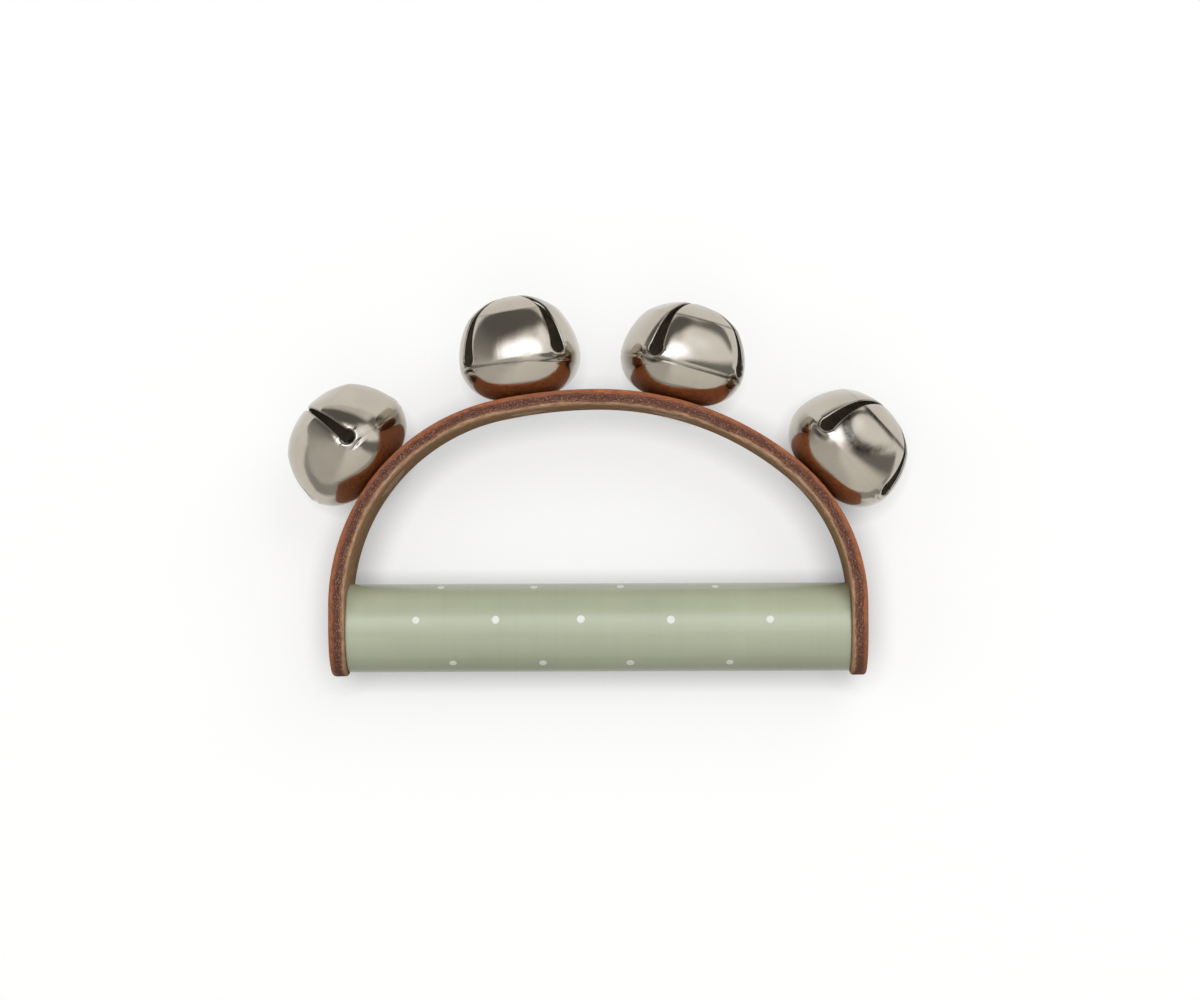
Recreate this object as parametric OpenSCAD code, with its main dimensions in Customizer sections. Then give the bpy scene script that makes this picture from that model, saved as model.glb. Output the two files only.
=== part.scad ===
// Hand-held jingle handle: a painted dowel, an arched leather strap and four riveted jingle bells.
// Millimetres. The arch lies flat: X runs along the handle, Y runs from the handle to the bells,
// Z is up and runs across the width of the strap. The origin is the middle of the handle.

/* [Handle] */
// Length of the wooden dowel between the two strap ends
handle_len = 125; // [90:1:180]
// Diameter of the wooden dowel
handle_d = 22; // [16:0.5:30]
// Bevel round the two ends of the dowel
handle_bevel = 0.5; // [0.2:0.1:1.5]

/* [Strap] */
// Width of the leather strap
strap_w = 24; // [16:0.5:32]
// Thickness of the leather
strap_t = 4; // [2.5:0.1:6]
// Rounding of the burnished strap edges
strap_edge_r = 0.8; // [0.3:0.1:1.2]
// Height of the crown's inner face above the handle's axis
crown_rise = 55; // [40:1:80]
// Straight part of each leg above the handle's axis
leg_rise = 5.5; // [2:0.5:15]
// How far the left shoulder bend turns, in degrees
left_shoulder = 78; // [40:1:80]
// How far the right shoulder bend turns, in degrees
right_shoulder = 50; // [40:1:80]

/* [Bell places] */
// Lean of the outer left bell from the middle of the arch, in degrees
outer_left_lean = -50; // [-70:0.5:-35]
// Lean of the inner left bell
inner_left_lean = -8.5; // [-20:0.5:-6]
// Lean of the inner right bell
inner_right_lean = 14; // [10:0.5:25]
// Lean of the outer right bell
outer_right_lean = 47; // [35:0.5:70]
// Turn of the outer left bell on its rivet, in degrees
outer_left_turn = 7.5; // [-45:0.5:45]
// Turn of the inner left bell on its rivet
inner_left_turn = 39.5; // [-45:0.5:45]
// Turn of the inner right bell on its rivet
inner_right_turn = -26; // [-45:0.5:45]
// Turn of the outer right bell on its rivet
outer_right_turn = -29; // [-45:0.5:45]

/* [Bell shell] */
// Width of the bell across two opposite petals, at the fold line
bell_w = 30; // [22:0.5:36]
// Height of the bell from its base to the top of the petals
bell_h = 24.7; // [21:0.1:30]
// Width of the bell across two opposite corners, over the width across petals
corner_ratio = 1.085; // [1.02:0.005:1.15]
// Sheet metal thickness
bell_wall = 0.6; // [0.4:0.05:1]
// Diameter of the flat base
base_d = 13; // [9:0.2:16]
// Height of the fold line above the base
fold_rise = 9; // [7:0.1:11]
// Angle by which the sheet turns in at the fold line
fold_angle = 5; // [2:1:12]
// Radius of the petals' tips, above their second crease
cap_r = 16.2; // [14:0.2:24]
// Width of the top that the petals' tips make, across two opposite creases
cap_d = 22.2; // [14:0.2:23]
// Diameter of the round end of each slot
slot_hole_d = 3.8; // [3:0.1:5]
// Height of the middle of the slot's round end above the fold line
slot_hole_rise = 1.6; // [1.2:0.1:5]
// Width of the slot where it leaves the round end
slot_neck = 3.0; // [2:0.1:3.6]
// Width of the slot where the petals meet
slot_tip = 0.9; // [0.5:0.1:1.4]

/* [Pellet] */
// Diameter of the loose ball
pellet_d = 7; // [5.5:0.1:9]

/* [Rivet] */
// Diameter of the rivet's shank
rivet_d = 3.2; // [2.4:0.1:4]
// Diameter of the rivet's head inside the bell
rivet_head_d = 7; // [5.5:0.1:8.5]
// Height of the rivet's head
rivet_head_h = 1.4; // [0.8:0.1:2.2]
// Diameter of the peened tail
rivet_tail_d = 5; // [4.6:0.1:6]
// Height of the peened tail
rivet_tail_h = 0.5; // [0.3:0.1:1]
// Diameter of the washer
washer_d = 9; // [7:0.1:12]
// Thickness of the washer
washer_t = 0.8; // [0.5:0.1:1.2]

/* [Screw] */
// Diameter of the screw's shank
screw_d = 3.5; // [3:0.1:4.5]
// Whole length of the screw
screw_len = 22; // [16:1:30]
// Diameter of the countersunk head
screw_head_d = 7; // [6:0.1:9]
// Length of the screw's point
screw_point = 4; // [2:0.5:6]
// Width of the cross recess in the head
drive_w = 1; // [0.6:0.1:1.4]
// Depth of the cross recess in the head
drive_h = 1.2; // [0.6:0.1:1.6]

/* [Clearances] */
// Room between a bell and the rivet or strap that it turns on
turn_gap = 0.15; // [0.1:0.05:0.3]
// Room round a shank in its hole and round a washer in its seat
hole_gap = 0.1; // [0.05:0.05:0.3]
// Room between the ball and the wall that it lies on
pellet_gap = 0.05; // [0.02:0.01:0.2]
// How far the crown bends stand proud of the shoulder bends that end inside them
bend_lap = 0.02; // [0.01:0.01:0.05]

/* [Hidden] */
$fn = 64;
handle_half = handle_len / 2;
// Arch height that the two bends of each side share
bend_rise = crown_rise - leg_rise;
// Inner radii of the shoulder and crown bends: both sides span half the handle and the same height
left_shoulder_r = to_micron(shoulder_r(left_shoulder));
left_crown_r = to_micron(crown_r(left_shoulder));
right_shoulder_r = to_micron(shoulder_r(right_shoulder));
right_crown_r = to_micron(crown_r(right_shoulder));
// Turn of a shoulder bend inside the crown bend
lap_turn = 0.4;
// Bell: half width and the displaced axis of a petal's curve
bell_r = bell_w / 2;
petal_shift = bell_r * (pow(corner_ratio, 2) - 1) / (2 - sqrt(2) * corner_ratio);
// The bowl's arc leaves the fold line at its angle and ends on the base
bowl_run = bell_r - base_d / 2;
bowl_r = (pow(bowl_run, 2) + pow(fold_rise, 2)) / (2 * (bowl_run * cos(fold_angle) - fold_rise * sin(fold_angle)));
bowl_x = bell_r - bowl_r * cos(fold_angle);
bowl_z = fold_rise + bowl_r * sin(fold_angle);
// A petal's side stands square on the fold line and ends at the crease under its tip
cap_edge_z = bell_h - cap_r + sqrt(pow(cap_r, 2) - pow(cap_d / 2, 2));
flank_run = bell_r - cap_d / 2;
flank_r = (pow(flank_run, 2) + pow(cap_edge_z - fold_rise, 2)) / (2 * flank_run);
corner_r = bell_r * corner_ratio;
// The ball lies against the flank or the bowl, whichever is nearer
pellet_inset = bell_wall + pellet_d / 2 + pellet_gap;
pellet_z = (fold_rise + bowl_z) / 2;
pellet_flank = bell_r - flank_r + sqrt(pow(flank_r - pellet_inset, 2) - pow(pellet_z - fold_rise, 2));
pellet_bowl = bowl_x + sqrt(pow(bowl_r - pellet_inset, 2) - pow(pellet_z - bowl_z, 2));
pellet_run = petal_shift + min(pellet_flank, pellet_bowl);
slot_z = fold_rise + slot_hole_rise;
// Places along a rivet, from the bell's base
strap_out_z = -turn_gap;
strap_in_z = strap_out_z - strap_t;
washer_seat_z = strap_in_z + washer_t;
tail_z = strap_in_z;
head_z = bell_wall + turn_gap;
screw_cone_h = (screw_head_d - screw_d) / 2;

// Radii are kept to a micrometre, so that neighbouring bends meet exactly
function to_micron(x) =
    round(x * 1000) / 1000;

// Radius of the shoulder bend of a side whose shoulder turns by a degrees
function shoulder_r(a) =
    (handle_half * (1 - sin(a)) - bend_rise * cos(a)) / (1 - sin(a) - cos(a));

// Radius of the crown bend of the same side
function crown_r(a) =
    (bend_rise * (1 - cos(a)) - handle_half * sin(a)) / (1 - sin(a) - cos(a));

// Inner radius of the bend that a bell with this lean stands on
function bend_r(lean) =
    lean < 0
        ? (-lean > 90 - left_shoulder ? left_shoulder_r : left_crown_r)
        : (lean > 90 - right_shoulder ? right_shoulder_r : right_crown_r);

// Centre of that bend
function bend_c(lean) =
    lean < 0
        ? (-lean > 90 - left_shoulder ? [left_shoulder_r - handle_half, leg_rise] : [0, crown_rise - left_crown_r])
        : (lean > 90 - right_shoulder ? [handle_half - right_shoulder_r, leg_rise] : [0, crown_rise - right_crown_r]);

// Distance from the bell's axis to the ball's centre when it lies in a bell with this turn
function pellet_r(turn) =
    let (off = abs(((turn % 90) + 90) % 90 - 45))
    sqrt(pow(pellet_run, 2) - pow(petal_shift * sin(off), 2)) - petal_shift * cos(off);

// Puts a bell's own frame on the strap: base on the outer face, axis square to it
module on_strap(lean) {
    c = bend_c(lean);
    r = bend_r(lean) + strap_t + turn_gap;
    translate([c[0] + r * sin(lean), c[1] + r * cos(lean), 0])
        rotate([0, 0, -lean])
            rotate([-90, 0, 0])
                children();
}

// Section of the strap, thickness along x from the inner face, width along y, grown by a lap all round
module strap_section(lap) {
    e = strap_edge_r;
    half_w = strap_w / 2 + lap;
    translate([-lap, e - half_w])
        square([strap_t + 2 * lap, 2 * half_w - 2 * e]);
    translate([e - lap, -half_w])
        square([strap_t + 2 * lap - 2 * e, 2 * half_w]);
    for (x = [e - lap, strap_t + lap - e])
        for (y = [e - half_w, half_w - e])
            translate([x, y])
                circle(r = e);
}

// One bend of the strap about a centre, from a start angle over a turn
module strap_bend(centre, radius, first, turn, lap) {
    translate([centre[0], centre[1], 0])
        rotate_extrude(angle = turn, start = first)
            translate([radius, 0])
                strap_section(lap);
}

// Bends of the right-hand side
module right_bends() {
    a = right_shoulder;
    strap_bend([handle_half - right_shoulder_r, leg_rise], right_shoulder_r, 0, a + lap_turn, 0);
    strap_bend([0, crown_rise - right_crown_r], right_crown_r, a, 90 - a, bend_lap);
}

// Bends of the left-hand side
module left_bends() {
    a = left_shoulder;
    strap_bend([0, crown_rise - left_crown_r], left_crown_r, 90, 90 - a, bend_lap);
    strap_bend([left_shoulder_r - handle_half, leg_rise], left_shoulder_r, 180 - a - lap_turn, a + lap_turn, 0);
}

// Straight leg and half-round end on the right-hand side
module strap_leg() {
    translate([handle_half, leg_rise, 0])
        rotate([90, 0, 0])
            linear_extrude(height = leg_rise)
                strap_section(0);
    translate([handle_half, 0, 0])
        rotate([0, 90, 0])
            rotate([0, 0, 180])
                strap_end();
}

// Half-round strap end, lying on its inner face, round side along -y
module strap_end() {
    rotate_extrude(angle = 180)
        rotate([0, 0, 90])
            mirror([0, 1, 0])
                intersection() {
                    strap_section(0);
                    square([strap_t, strap_w]);
                }
}

// Turned dowel with a pilot hole in each end
module handle() {
    b = handle_bevel;
    r = handle_d / 2;
    color([0.62, 0.68, 0.56])
        difference() {
            rotate([0, 90, 0])
                rotate_extrude()
                    polygon([
                        [0, -handle_half],
                        [r - b, -handle_half],
                        [r, b - handle_half],
                        [r, handle_half - b],
                        [r - b, handle_half],
                        [0, handle_half]
                    ]);
            for (s = [0, 180])
                rotate([0, 0, s])
                    screw_hole(screw_d + 2 * hole_gap, screw_len + 1);
        }
}

// Round hole from outside the right strap end inwards
module screw_hole(d, depth) {
    translate([handle_half + strap_t - depth, 0, 0])
        rotate([0, 90, 0])
            cylinder(d = d, h = depth + 1);
}

// Countersink in the right strap end
module screw_sink() {
    translate([handle_half + strap_t - screw_cone_h, 0, 0])
        rotate([0, 90, 0])
            cylinder(d1 = screw_d + 2 * hole_gap, d2 = screw_head_d + 2 * hole_gap, h = screw_cone_h);
}

// Arched strap with its screw holes, rivet holes and washer seats
module leather_strap() {
    color([0.48, 0.27, 0.17])
        difference() {
            union() {
                strap_leg();
                mirror([1, 0, 0])
                    strap_leg();
                right_bends();
                left_bends();
            }
            for (s = [0, 180])
                rotate([0, 0, s]) {
                    screw_hole(screw_d + 2 * hole_gap, strap_t + 1);
                    screw_sink();
                }
            for (lean = [outer_left_lean, inner_left_lean, inner_right_lean, outer_right_lean])
                on_strap(lean) {
                    translate([0, 0, strap_in_z - 1])
                        cylinder(d = rivet_d + 2 * hole_gap, h = strap_t + 2);
                    translate([0, 0, strap_in_z - 1])
                        cylinder(d = washer_d + 2 * hole_gap, h = washer_t + 1);
                }
        }
}

// Countersunk wood screw along +x with its head flush at x = 0
module wood_screw() {
    color([0.72, 0.7, 0.66])
        rotate([0, -90, 0])
            difference() {
                rotate_extrude()
                    polygon([
                        [0, 0],
                        [screw_head_d / 2, 0],
                        [screw_d / 2, screw_cone_h],
                        [screw_d / 2, screw_len - screw_point],
                        [0, screw_len]
                    ]);
                for (a = [0, 90])
                    rotate([0, 0, a])
                        translate([-screw_head_d / 3, -drive_w / 2, -1])
                            cube([screw_head_d * 2 / 3, drive_w, drive_h + 1]);
            }
}

module handle_screw_left() {
    translate([-handle_half - strap_t, 0, 0])
        mirror([1, 0, 0])
            wood_screw();
}

module handle_screw_right() {
    translate([handle_half + strap_t, 0, 0])
        wood_screw();
}

// Filled section of one petal with its share of the bowl, measured from the petal's displaced axis
module lobe_section(inset) {
    intersection() {
        union() {
            translate([petal_shift + bell_r - flank_r, fold_rise])
                circle(r = flank_r - inset);
            square([petal_shift + cap_d / 4, bell_h + 1]);
        }
        union() {
            translate([petal_shift, bell_h - cap_r])
                circle(r = cap_r - inset);
            square([petal_shift, bell_h + 1]);
        }
        union() {
            translate([petal_shift + bowl_x, bowl_z])
                circle(r = bowl_r - inset);
            square([petal_shift + bowl_x, bell_h + 1]);
            translate([0, slot_z])
                square([2 * corner_r + petal_shift, bell_h]);
        }
        translate([0, inset])
            square([2 * corner_r + petal_shift, bell_h + 1]);
    }
}

// Solid turned about the displaced axis of the petal that faces the given way
module lobe(facing, inset) {
    rotate([0, 0, facing])
        translate([-petal_shift, 0, 0])
            rotate_extrude()
                lobe_section(inset);
}

// Keyhole outline of a slot, across x and up y
module slot_outline(trim) {
    translate([0, slot_z])
        circle(d = slot_hole_d - 2 * trim);
    polygon([
        [trim - slot_neck / 2, slot_z],
        [slot_neck / 2 - trim, slot_z],
        [slot_tip / 2 - trim, bell_h],
        [slot_tip / 2 - trim, bell_h + 1],
        [trim - slot_tip / 2, bell_h + 1],
        [trim - slot_tip / 2, bell_h]
    ]);
}

// The four slots, two across the whole bell each way
module slots(trim) {
    for (a = [0, 90])
        rotate([0, 0, a])
            translate([0, 2 * bell_w, 0])
                rotate([90, 0, 0])
                    linear_extrude(height = 4 * bell_w)
                        slot_outline(trim);
}

// Four petals and their bowl, filled, where the four lobes cross, parted by the slots
module petals(inset, trim) {
    intersection() {
        difference() {
            lobe(45, inset);
            slots(trim);
        }
        lobe(135, inset);
        lobe(225, inset);
        lobe(315, inset);
    }
}

// Folded bell shell with four petals, crossed keyhole slots and a rivet hole, base at z = 0
module bell_shell(turn) {
    color([0.8, 0.79, 0.77])
        rotate([0, 0, turn])
            difference() {
                petals(0, 0);
                petals(bell_wall, slot_tip / 4);
                translate([0, 0, -1])
                    cylinder(d = rivet_d + 2 * turn_gap, h = bell_wall + 2);
            }
}

// Loose ball, lying on the lower wall of a bell with this turn
module pellet(turn) {
    color([0.45, 0.45, 0.46])
        translate([0, pellet_r(turn), pellet_z])
            sphere(d = pellet_d);
}

// Low dome of a diameter and height, flat side down at z = 0
module low_dome(d, h) {
    r = (pow(d / 2, 2) + pow(h, 2)) / (2 * h);
    rotate_extrude()
        intersection() {
            translate([0, h - r])
                circle(r = r);
            square([d, h]);
        }
}

// Rivet with its head inside the bell and its peened tail under the washer
module rivet() {
    color([0.38, 0.29, 0.2]) {
        translate([0, 0, head_z])
            low_dome(rivet_head_d, rivet_head_h);
        translate([0, 0, tail_z])
            cylinder(d = rivet_d, h = head_z - tail_z);
        translate([0, 0, tail_z])
            rotate([180, 0, 0])
                low_dome(rivet_tail_d, rivet_tail_h);
    }
}

// Flat washer in its seat in the leather
module rivet_washer() {
    color([0.34, 0.26, 0.18])
        translate([0, 0, tail_z])
            difference() {
                cylinder(d = washer_d, h = washer_seat_z - tail_z);
                translate([0, 0, -1])
                    cylinder(d = rivet_d + 2 * hole_gap, h = washer_t + 2);
            }
}

module bell_shell_outer_left() {
    on_strap(outer_left_lean)
        bell_shell(outer_left_turn);
}

module bell_shell_inner_left() {
    on_strap(inner_left_lean)
        bell_shell(inner_left_turn);
}

module bell_shell_inner_right() {
    on_strap(inner_right_lean)
        bell_shell(inner_right_turn);
}

module bell_shell_outer_right() {
    on_strap(outer_right_lean)
        bell_shell(outer_right_turn);
}

module pellet_outer_left() {
    on_strap(outer_left_lean)
        pellet(outer_left_turn);
}

module pellet_inner_left() {
    on_strap(inner_left_lean)
        pellet(inner_left_turn);
}

module pellet_inner_right() {
    on_strap(inner_right_lean)
        pellet(inner_right_turn);
}

module pellet_outer_right() {
    on_strap(outer_right_lean)
        pellet(outer_right_turn);
}

module rivet_outer_left() {
    on_strap(outer_left_lean)
        rivet();
}

module rivet_inner_left() {
    on_strap(inner_left_lean)
        rivet();
}

module rivet_inner_right() {
    on_strap(inner_right_lean)
        rivet();
}

module rivet_outer_right() {
    on_strap(outer_right_lean)
        rivet();
}

module rivet_washer_outer_left() {
    on_strap(outer_left_lean)
        rivet_washer();
}

module rivet_washer_inner_left() {
    on_strap(inner_left_lean)
        rivet_washer();
}

module rivet_washer_inner_right() {
    on_strap(inner_right_lean)
        rivet_washer();
}

module rivet_washer_outer_right() {
    on_strap(outer_right_lean)
        rivet_washer();
}

handle();
leather_strap();
handle_screw_left();
handle_screw_right();
bell_shell_outer_left();
bell_shell_inner_left();
bell_shell_inner_right();
bell_shell_outer_right();
pellet_outer_left();
pellet_inner_left();
pellet_inner_right();
pellet_outer_right();
rivet_outer_left();
rivet_inner_left();
rivet_inner_right();
rivet_outer_right();
rivet_washer_outer_left();
rivet_washer_inner_left();
rivet_washer_inner_right();
rivet_washer_outer_right();
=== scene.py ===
import math
from typing import NamedTuple
import bpy
import numpy as np
from mathutils import Matrix, Vector, noise


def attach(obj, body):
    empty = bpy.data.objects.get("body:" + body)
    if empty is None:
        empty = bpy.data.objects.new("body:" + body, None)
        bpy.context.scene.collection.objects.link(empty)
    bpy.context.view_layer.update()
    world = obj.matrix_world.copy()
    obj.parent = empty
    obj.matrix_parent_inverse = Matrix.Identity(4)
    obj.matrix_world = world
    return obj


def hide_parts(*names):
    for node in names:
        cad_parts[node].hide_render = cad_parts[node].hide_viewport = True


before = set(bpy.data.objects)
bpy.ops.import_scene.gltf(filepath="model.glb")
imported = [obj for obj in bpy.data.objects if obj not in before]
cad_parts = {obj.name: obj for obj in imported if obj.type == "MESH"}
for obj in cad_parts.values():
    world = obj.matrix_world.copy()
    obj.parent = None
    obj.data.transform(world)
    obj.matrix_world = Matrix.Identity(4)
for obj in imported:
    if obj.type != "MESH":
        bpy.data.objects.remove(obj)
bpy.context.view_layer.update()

# Metres in a millimetre
MM = 0.001


class Stand(NamedTuple):
    """How a bell stands on the strap, in degrees."""

    lean: float
    turn: float


# Sizes repeated from part.scad, in millimetres and degrees
HANDLE_LEN, HANDLE_D, HANDLE_BEVEL = 125.0, 22.0, 0.5
STRAP_W, STRAP_T, STRAP_EDGE = 24.0, 4.0, 0.8
CROWN_RISE, LEG_RISE = 55.0, 5.5
SHOULDER = {-1: 78.0, 1: 50.0}
BELLS = {
    "outer_left": Stand(lean=-50.0, turn=7.5),
    "inner_left": Stand(lean=-8.5, turn=39.5),
    "inner_right": Stand(lean=14.0, turn=-26.0),
    "outer_right": Stand(lean=47.0, turn=-29.0),
}
BELL_R, BELL_H, CORNER_RATIO, BELL_WALL = 15.0, 24.7, 1.085, 0.6
BASE_R, FOLD_RISE, FOLD_ANGLE = 6.5, 9.0, 5.0
CAP_R, CAP_EDGE = 16.2, 11.1
SLOT_HOLE_R, SLOT_Z, SLOT_NECK, SLOT_TIP = 1.9, 10.6, 3.0, 0.9
RIVET_HOLE_R = 1.75
WASHER_R, SCREW_HEAD_R = 4.5, 3.5
TURN_GAP = 0.15


def sin(degrees):
    return math.sin(math.radians(degrees))


def cos(degrees):
    return math.cos(math.radians(degrees))


def arcsin(share):
    return math.degrees(math.asin(share))


def clamp(value):
    """A value held between 0 and 1."""
    return min(1.0, max(0.0, value))


def within(far, edge, soft):
    """1 well inside a distance, 0 well outside it, smooth between."""
    return 0.5 - 0.5 * math.tanh((far - edge) / (2 * soft))


def hump(far, width):
    """1 at a place, falling off smoothly on both sides over a width."""
    return math.exp(-((far / width) ** 2))


def wobble(x, y, z):
    """Smooth noise between -1 and 1."""
    return noise.noise(Vector((x, y, z)))


def bell_number(place):
    return list(BELLS).index(place) + 1


# Mesh helpers

WELD_DIGITS = 5


def add_to_scene(name, data):
    thing = bpy.data.objects.new(name, data)
    bpy.context.scene.collection.objects.link(thing)
    return thing


def make_piece(name, points_mm, faces, materials, face_material=None):
    """A smooth-shaded mesh object from points in millimetres."""
    mesh = bpy.data.meshes.new(name)
    mesh.from_pydata((np.asarray(points_mm, float) * MM).tolist(), [], faces)
    for material in materials:
        mesh.materials.append(material)
    if face_material is not None:
        mesh.polygons.foreach_set("material_index", np.asarray(face_material, np.int32))
    mesh.polygons.foreach_set("use_smooth", np.ones(len(mesh.polygons), bool))
    mesh.update()
    return add_to_scene(name, mesh)


def store(piece, name, values):
    """Numbers or vectors kept on a mesh's points, for its material to read."""
    values = np.asarray(values, np.float32)
    kind, field = ("FLOAT", "value") if values.ndim == 1 else ("FLOAT_VECTOR", "vector")
    layer = piece.data.attributes.new(name, kind, "POINT")
    layer.data.foreach_set(field, values.ravel())


def grid_faces(index, close_u=False):
    """Quads over a table of point numbers, leaving out corners that fall together."""
    faces = []
    rows, cols = index.shape
    for i in range(rows - 1):
        for j in range(cols if close_u else cols - 1):
            k = (j + 1) % cols
            loop = [index[i, j], index[i, k], index[i + 1, k], index[i + 1, j]]
            kept = [int(p) for n, p in enumerate(loop) if p != loop[n - 1]]
            if len(set(kept)) >= 3:
                faces.append(kept)
    return faces


def weld(points, faces, tags=None):
    """(points, faces, tags, numbers of the kept points) with points that fall together made one."""
    points = np.asarray(points, float)
    keys = {}
    number = np.empty(len(points), int)
    kept = []
    for n, p in enumerate(np.round(points, WELD_DIGITS) + 0.0):
        key = tuple(p)
        if key not in keys:
            keys[key] = len(kept)
            kept.append(n)
        number[n] = keys[key]
    welded, marks = [], []
    for n, face in enumerate(faces):
        loop = [int(number[p]) for p in face]
        loop = [p for m, p in enumerate(loop) if p != loop[m - 1]]
        if len(set(loop)) == len(loop) and len(loop) >= 3:
            welded.append(loop)
            if tags is not None:
                marks.append(tags[n])
    return points[kept], welded, marks, np.asarray(kept)


# Material helpers

# Where most of a noise's values lie
NOISE_SPAN = (0.3, 0.7)


class Net:
    """Short calls for adding and joining shader nodes."""

    def __init__(self, tree):
        self.tree = tree

    def plug(self, node, inputs):
        """Set a node's inputs, or link them where the value is another node's output."""
        for name, value in inputs.items():
            slot = node.inputs[name]
            if isinstance(value, bpy.types.NodeSocket):
                self.tree.links.new(value, slot)
            elif slot.type == "RGBA":
                slot.default_value = (*value, 1.0)
            else:
                slot.default_value = value

    def add(self, kind, inputs=None, **settings):
        node = self.tree.nodes.new(kind)
        for name, value in settings.items():
            setattr(node, name, value)
        self.plug(node, inputs or {})
        return node

    def noise(self, vector, scale, detail=3.0, rough=0.5, stretch=None):
        if stretch is not None:
            vector = self.add("ShaderNodeMapping", {"Vector": vector, "Scale": stretch}).outputs["Vector"]
        inputs = {"Vector": vector, "Scale": scale, "Detail": detail, "Roughness": rough}
        return self.add("ShaderNodeTexNoise", inputs).outputs["Fac"]

    def ramp(self, value, stops):
        """A colour picked by a value from stops of (value, colour)."""
        node = self.add("ShaderNodeValToRGB", {"Fac": value})
        marks = node.color_ramp.elements
        while len(marks) < len(stops):
            marks.new(0.5)
        for mark, (at, colour) in zip(marks, stops):
            mark.position = at
            mark.color = (*colour, 1.0)
        return node.outputs["Color"]

    def tones(self, value, low, high, span=NOISE_SPAN):
        return self.ramp(value, [(span[0], low), (span[1], high)])

    def range(self, value, span, target):
        """A value carried over from one span to another."""
        inputs = {"Value": value, "From Min": span[0], "From Max": span[1]}
        inputs.update({"To Min": target[0], "To Max": target[1]})
        return self.add("ShaderNodeMapRange", inputs).outputs["Result"]

    def above(self, value, edge, soft):
        """0 below an edge, 1 above it, with a soft border."""
        inputs = {"Value": value, "From Min": edge - soft, "From Max": edge + soft}
        return self.add("ShaderNodeMapRange", inputs, interpolation_type="SMOOTHSTEP").outputs["Result"]

    def math(self, operation, *values):
        return self.add("ShaderNodeMath", dict(enumerate(values)), operation=operation).outputs["Value"]

    def plus(self, a, b):
        return self.math("ADD", a, b)

    def times(self, *values):
        product = values[0]
        for value in values[1:]:
            product = self.math("MULTIPLY", product, value)
        return product

    def flip(self, mask):
        return self.math("SUBTRACT", 1.0, mask)

    def blend(self, under, over, mask):
        """One brightness over another through a mask."""
        return self.plus(self.times(under, self.flip(mask)), self.times(over, mask))

    def mix(self, share, under, over, blend="MIX"):
        inputs = {0: share, 6: under, 7: over}
        return self.add("ShaderNodeMix", inputs, data_type="RGBA", blend_type=blend).outputs[2]

    def bump(self, height, strength, distance, under=None):
        inputs = {"Height": height, "Strength": strength, "Distance": distance}
        if under is not None:
            inputs["Normal"] = under
        return self.add("ShaderNodeBump", inputs).outputs["Normal"]

    def split(self, vector):
        return self.add("ShaderNodeSeparateXYZ", {0: vector}).outputs

    def object_coords(self):
        return self.add("ShaderNodeTexCoord").outputs["Object"]

    def attribute(self, name, output="Vector"):
        return self.add("ShaderNodeAttribute", attribute_name=name).outputs[output]


def new_material(name):
    """(material, its net of nodes, its shader)."""
    material = bpy.data.materials.new(name)
    material.use_nodes = True
    return material, Net(material.node_tree), material.node_tree.nodes["Principled BSDF"]


# Materials


def nickel_material():
    material, net, shader = new_material("bright_nickel")
    at = net.attribute("own")
    cloud = net.noise(at, scale=0.14)
    speck = net.noise(at, scale=2.6, detail=2.0)
    drawn = net.noise(at, scale=0.9, detail=2.0, stretch=(1.0, 1.0, 0.12))
    tone = net.tones(cloud, (0.525, 0.478, 0.402), (0.580, 0.530, 0.450))
    # Painted shade in the folds, creases, puckers and along the slots' edges, and one bell's painted dark
    # reflection, darken the nickel in patches
    patches = net.range(net.noise(at, scale=0.8), (0.3, 0.65), (0.70, 1.0))
    painted_dark_amount = net.times(net.attribute("painted_dark", "Fac"), patches)
    wear = net.plus(net.times(cloud, 0.5), net.times(speck, 0.5))
    lines = net.bump(drawn, strength=0.08, distance=0.0002)
    net.plug(shader, {
        "Metallic": 1.0,
        "Base Color": net.mix(painted_dark_amount, tone, (0.085, 0.075, 0.062)),
        "Roughness": net.range(wear, NOISE_SPAN, (0.09, 0.17)),
        "Normal": net.bump(speck, strength=0.07, distance=0.0001, under=lines),
    })
    return material


def bell_inside_material():
    material, net, shader = new_material("bell_inside_dull")
    stain = net.noise(net.attribute("own"), scale=0.32, detail=4.0)
    net.plug(shader, {
        "Metallic": 0.3,
        "Base Color": net.tones(stain, (0.30, 0.245, 0.185), (0.44, 0.37, 0.29), span=(0.3, 0.75)),
        "Roughness": net.range(stain, NOISE_SPAN, (0.42, 0.62)),
    })
    return material


def steel_material(name, low, high, rough, metallic=1.0):
    material, net, shader = new_material(name)
    at = net.object_coords()
    cloud = net.noise(at, scale=420.0)
    lines = net.noise(at, scale=2400.0, detail=2.0, stretch=(1.0, 1.0, 0.15))
    net.plug(shader, {
        "Metallic": metallic,
        "Specular IOR Level": 0.5 * metallic,
        "Base Color": net.tones(cloud, low, high),
        "Roughness": net.range(lines, NOISE_SPAN, (rough - 0.06, rough + 0.08)),
        "Normal": net.bump(lines, strength=0.08, distance=0.0002),
    })
    return material


# Colour by share of the strap's thickness: flesh side, inked core, dyed grain side
LEATHER_LAYERS = [
    (0.00, (0.330, 0.205, 0.120)),
    (0.13, (0.420, 0.265, 0.170)),
    (0.25, (0.170, 0.080, 0.053)),
    (0.45, (0.100, 0.042, 0.033)),
    (0.66, (0.120, 0.047, 0.033)),
    (0.80, (0.270, 0.092, 0.044)),
    (1.00, (0.365, 0.122, 0.044)),
]
FIBRE_SHADES = [(0.30, (0.52, 0.50, 0.48)), (0.52, (1.0, 1.0, 1.0)), (0.72, (1.55, 1.50, 1.45))]


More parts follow.
